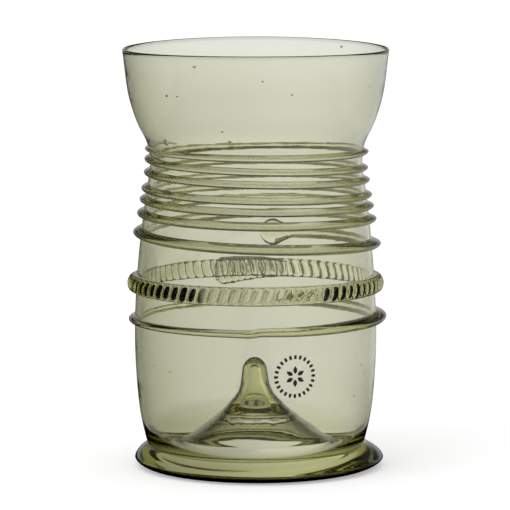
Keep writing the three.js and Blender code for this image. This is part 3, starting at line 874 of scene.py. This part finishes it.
def glass_material(name, edge, cord_depth, cord_scale, roughness, under=None, marked=None):
    """Clear refracting glass with absorption. Cords are stretched round the glass: the noise is read at
    points scaled by cord_scale, per metre, across, across and up. Edge is the power and the strength of
    the painted shade at a grazing angle and its share from inside the glass, under the range and the
    strength of any painted shade on faces that look down, and marked what the attribute groove means:
    where it adds painted shade, in grooves and folds, on the sole or on the kick."""
    material = bpy.data.materials.new(name)
    tree = Tree(material)
    where = tree.node("TexCoord", output="Object")
    streaks = tree.node("Mapping", None, {"Vector": where, "Scale": cord_scale})
    noise = {"Scale": 1.0, "Detail": 3.0, "Roughness": 0.45}
    cord = tree.node("TexNoise", None, {"Vector": streaks, **noise})
    fine = tree.node("TexNoise", None, {"Vector": where, "Scale": 900.0, "Detail": 2.0})
    slow = tree.node("TexNoise", None, {"Vector": where, "Scale": 28.0, "Detail": 1.0})
    facing = tree.node("LayerWeight", None, {"Blend": 0.5}, output="Facing")
    normal = tree.node("NewGeometry", output="Normal")
    inside = tree.node("NewGeometry", output="Backfacing")
    up = tree.node("SeparateXYZ", None, {0: normal}, output="Z") * (1 - 2 * inside)
    # Painted shade: the colour goes towards black at a grazing angle, less so on faces that look up.
    painted_shade = facing ** edge[0] * edge[1] * (1 - tree.between(0.2, 0.75, up))
    painted_shade = painted_shade * (1 - (1 - edge[2]) * inside)
    # Painted shade on outer faces that look down.
    if under:
        painted_shade = painted_shade.larger(tree.between(under[0], under[1], 0 - up) * (1 - inside) * under[2])
    groove = tree.node("Attribute", {"attribute_name": "groove"}, output="Fac")
    # Painted shade: dark in the grooves where the wall is seen aslant, lighter in the other grooves, and
    # near black where the attribute is over 1, at folds of the thread and in the deep grooves of the
    # band's end.
    if marked == "grooves":
        radial = tree.node("VectorMath", {"operation": "MULTIPLY"}, {0: where, 1: (1, 1, 0)})
        radial = tree.node("VectorMath", {"operation": "NORMALIZE"}, {0: radial})
        aslant = tree.node("LayerWeight", None, {"Blend": 0.5, "Normal": radial}, output="Facing")
        pressed = tree.between(0.5, 0.62, groove) * tree.between(0.05, 0.12, aslant)
        pressed = pressed.larger(0.35 * tree.between(0.2, 0.42, groove)) * (1 - inside)
        painted_shade = painted_shade.larger(pressed).larger(0.95 * tree.between(1.1, 1.6, groove))
    # Painted shade on the sole of the foot, seen from outside.
    if marked == "sole":
        painted_shade = painted_shade.larger(groove * (1 - inside))
    # Painted shade on the kick and low on the outer wall, at a grazing angle.
    if marked == "kick":
        painted_shade = painted_shade.larger(groove * tree.between(0.3, 0.72, facing) * 0.95)
    tint = tree.colour_mix(slow, (0.985, 0.985, 0.975, 1), (0.965, 0.965, 0.945, 1))
    # The painted shade mixes the tint towards black.
    colour = tree.colour_mix(painted_shade, tint, (0.0, 0.0, 0.0, 1))
    bump = tree.node(
        "Bump", None, {"Height": cord + 0.04 * fine, "Strength": 0.6, "Distance": cord_depth * MM}
    )
    surface = tree.node(
        "BsdfPrincipled",
        None,
        {
            "Base Color": colour,
            "Roughness": roughness * (0.5 + slow),
            "IOR": 1.5,
            "Transmission Weight": 1.0,
            "Normal": bump,
        },
    )
    absorbed = {"Color": ABSORB_COLOUR, "Density": ABSORB_DENSITY}
    volume = tree.node("VolumeAbsorption", None, absorbed)
    tree.node("OutputMaterial", None, {"Surface": surface, "Volume": volume})
    return material


def dress(piece, material, slot, *nodes):
    """The piece takes its material, rides on the one body and stands for its solid."""
    piece.data.materials.append(material)
    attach(piece, "root")
    if nodes:
        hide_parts(*nodes)


# Painted shade: each edge tuple darkens the glass at a grazing angle, and the tuple below darkens faces
# of threads and band that look down.
painted_under_shade = (0.6, 0.88, 0.8)
wall_glass = glass_material("blown_wall", (1.7, 0.55, 1), 0.10, (45, 45, 160), 0.012, marked="kick")
thread_glass = glass_material(
    "laid_thread", (2.0, 0.6, 0.3), 0.04, (90, 90, 260), 0.015, painted_under_shade, "grooves"
)
band_glass = glass_material(
    "rolled_band", (2.0, 0.6, 0.3), 0.05, (140, 140, 300), 0.02, painted_under_shade, "grooves"
)
foot_glass = glass_material("foot_coil", (0.9, 0.95, 1), 0.04, (60, 60, 120), 0.02, marked="sole")
scar_glass = glass_material("broken_scar", (0.6, 1.0, 1), 0.12, (500, 500, 500), 0.08)
for piece, material, *nodes in (
    (bowl, wall_glass, "bowl"),
    (foot, foot_glass, "foot_ring"),
    (lower_trail, thread_glass, "lower_trail"),
    (notched_trail, band_glass, "notched_trail"),
    (spiral_trail, thread_glass, "spiral_trail"),
    (scar, scar_glass, "pontil_scar"),
    (seeds, scar_glass),
):
    dress(piece, material, "green_glass", *nodes)
print("glass materials:", [m.name for m in bpy.data.materials])

# %% [markdown]
# ## Film and print
#
# The film is clear plastic: nearly all of the light passes, and a faint gloss shows where its edge
# is. Alpha says how much of it is seen. The ornament is matt black ink, a little uneven where the
# screen left less of it.

# %% Materials: film and ink
def thin_material(name, cloud_noise, grain_noise, shades, roughness, bump_strength, alpha=None):
    """A thin layer. A slow noise mixes its two shades and drives its roughness and any alpha, each a
    base and a range, and a fine noise its bump. Each noise is a scale per metre and a detail."""
    material = bpy.data.materials.new(name)
    tree = Tree(material)
    where = tree.node("TexCoord", output="Object")
    cloud, grain = (
        tree.node("TexNoise", None, {"Vector": where, "Scale": scale, "Detail": detail})
        for scale, detail in (cloud_noise, grain_noise)
    )
    heights = {"Height": grain, "Strength": bump_strength, "Distance": 0.02 * MM}
    inputs = {
        "Base Color": tree.colour_mix(cloud, *shades),
        "Roughness": roughness[0] + roughness[1] * cloud,
        "Normal": tree.node("Bump", None, heights),
    }
    if alpha:
        inputs["Alpha"] = alpha[0] + alpha[1] * cloud
    tree.node("OutputMaterial", None, {"Surface": tree.node("BsdfPrincipled", None, inputs)})
    return material


film_shades = (0.84, 0.85, 0.76, 1), (0.9, 0.9, 0.84, 1)
plastic = thin_material(
    "clear_plastic", (260.0, 2.0), (1500.0, 2.0), film_shades, (0.25, 0.15), 0.2, (0.06, 0.05)
)
ink_shades = (0.006, 0.006, 0.006, 1), (0.03, 0.03, 0.027, 1)
ink = thin_material("black_ink", (2600.0, 3.0), (2600.0, 3.0), ink_shades, (0.45, 0.25), 0.3)
dress(film, plastic, "clear_film", "label_film")
dress(printed, ink, "clear_film")
print("film and ink applied")

# %% [markdown]
# ## The light round the glass
#
# Clear glass has almost no look of its own: it shows what stands round it, bent. The usual way to
# photograph it is a bright ground with dark all above it, so that the edges of the threads, which
# bend the light upwards, draw themselves as dark lines. The world below does that for light that has
# passed through glass, and is plain white to the camera and even for matt things. It is a little
# brighter on the right than on the left, like a room with one window, which makes the round walls
# read as round.

# %% World
def make_world():
    """White to the camera. Light that left the glass sees white low down and dark above, and so
    does mirrored light. All else is lit evenly."""
    world = bpy.data.worlds.new("studio")
    scene.world = world
    tree = Tree(world)
    direction = tree.node("TexCoord", output="Generated")
    split = tree.node("SeparateXYZ", None, {0: direction}, output="Z")
    side = tree.between(-0.8, 0.8, tree.node("SeparateXYZ", None, {0: direction}, output="X"))
    camera_ray, glossy, through, matt = tree.light_paths()
    scattered = tree.node("Math", {"operation": "GREATER_THAN"}, {0: matt, 1: 0.5})
    dark_above = tree.between(0.22, 0.5, split)
    seen_through = (0.88 - 0.85 * dark_above) * (0.8 + 0.4 * side)
    mirrored = 0.08 + 0.45 * (1 - tree.between(0.05, 0.25, split))
    even = 0.86
    special = through * seen_through + (1 - through) * (glossy * mirrored + (1 - glossy) * even)
    level = scattered * even + (1 - scattered) * special
    final = camera_ray + (1 - camera_ray) * level
    background = tree.node("Background", None, {"Color": (1, 1, 1, 1), "Strength": final})
    tree.node("OutputWorld", None, {"Surface": background})


make_world()
print("world made")

# %% [markdown]
# ## Floor, lamp and camera
#
# The floor follows the same rule as the world, with painted light and shade: brighter on the right,
# darker near the glass, and a painted contact shadow, darkest in a narrow ring where the foot stands on
# it. One soft lamp gives the glass its shadow. The lens is long, so that the round rim and the round
# foot both stay nearly flat ellipses.

# %% Floor, lamp and camera
FLOOR_RADIUS, FLOOR_SIDES = 3, 96
CAMERA_BACK, CAMERA_HEIGHT, AIM_HEIGHT = 1.26, 0.2224, 0.0636


def make_floor():
    """A pale disc. To the camera it glows just enough to be white where no shadow lies. Through the
    glass it glows with painted light and shade, by distances in metres from the axis: darker near the
    glass, brighter on the right, and darkest in a narrow ring where the foot stands, a painted contact
    shadow. To mirrors it glows as a painted reflection, dark near the glass and brighter towards the
    right."""
    turn = np.linspace(0, 2 * np.pi, FLOOR_SIDES, endpoint=False)
    points = np.stack([FLOOR_RADIUS * np.cos(turn), FLOOR_RADIUS * np.sin(turn), 0 * turn], 1)
    mesh = bpy.data.meshes.new("studio_floor")
    mesh.from_pydata(points.tolist(), [], [list(range(FLOOR_SIDES))])
    floor = bpy.data.objects.new("studio_floor", mesh)
    scene.collection.objects.link(floor)
    material = bpy.data.materials.new("pale_ground")
    tree = Tree(material)
    camera_ray, mirror, through, matt = tree.light_paths()
    unscattered = tree.node("Math", {"operation": "LESS_THAN"}, {0: matt, 1: 0.5})
    diffuse = tree.node("BsdfDiffuse", None, {"Color": (0.8, 0.8, 0.8, 1)})
    lift = tree.node("Emission", None, {"Color": (1, 1, 1, 1), "Strength": 0.36 * camera_ray})
    seen = tree.node("AddShader", None, {0: diffuse, 1: lift})
    where = tree.node("TexCoord", output="Object")
    glossy = mirror * (1 - through)
    away = tree.node("VectorMath", {"operation": "LENGTH"}, {0: where}, output="Value")
    across = tree.node("SeparateXYZ", None, {0: where}, output="X")
    side = tree.between(-0.8, 0.8, tree.node("Math", {"operation": "DIVIDE"}, {0: across, 1: away}))
    # Painted contact shadow: a narrow ring darkened where the foot stands, seen through the glass.
    painted_contact_shadow = 1 - 0.4 * tree.between(0.029, 0.035, away) * (1 - tree.between(0.035, 0.043, away))
    # Painted light and shade through the glass: darker near the glass, brighter on the right.
    level = (0.74 + 0.16 * tree.between(0.2, 1.6, away)) * (0.8 + 0.4 * side) * painted_contact_shadow
    # Painted reflection: dark near the glass and on the left, brightest on the right.
    mirrored = (0.06 + 0.7 * side * side) * tree.between(0.05, 0.25, away)
    strength = through * level + glossy * mirrored
    bright = tree.node("Emission", None, {"Color": (0.98, 1, 0.99, 1), "Strength": strength})
    special = (through + glossy) * unscattered
    mixed = tree.node("MixShader", None, {0: special, 1: seen, 2: bright})
    tree.node("OutputMaterial", None, {"Surface": mixed})
    mesh.materials.append(material)


def make_lamp():
    """One large soft lamp, high on the left in front."""
    data = bpy.data.lights.new("soft_lamp", "AREA")
    data.shape, data.size, data.size_y, data.energy = "RECTANGLE", 1.0, 1.0, 5.0
    lamp = bpy.data.objects.new("soft_lamp", data)
    scene.collection.objects.link(lamp)
    lamp.location = (-0.9, -0.8, 1.5)
    lamp.rotation_euler = (0.65, 0, -0.85)
    lamp.visible_glossy = False
    lamp.visible_transmission = False


def make_camera():
    """A long lens that looks 7 degrees down, as in the photograph."""
    data = bpy.data.cameras.new("camera")
    data.sensor_width, data.lens, data.clip_start = 36.0, 298.8, 0.02
    camera = bpy.data.objects.new("camera", data)
    scene.collection.objects.link(camera)
    camera.location = (-0.00018, -CAMERA_BACK, CAMERA_HEIGHT)
    down = math.atan2(CAMERA_HEIGHT - AIM_HEIGHT, CAMERA_BACK)
    camera.rotation_euler = (math.pi / 2 - down, 0, 0)
    scene.camera = camera


make_floor()
make_lamp()
make_camera()
scene.view_settings.view_transform = "Standard"
scene.cycles.max_bounces = 32
scene.cycles.transmission_bounces = 32
scene.cycles.glossy_bounces = 16
scene.cycles.transparent_max_bounces = 24
print("studio ready")
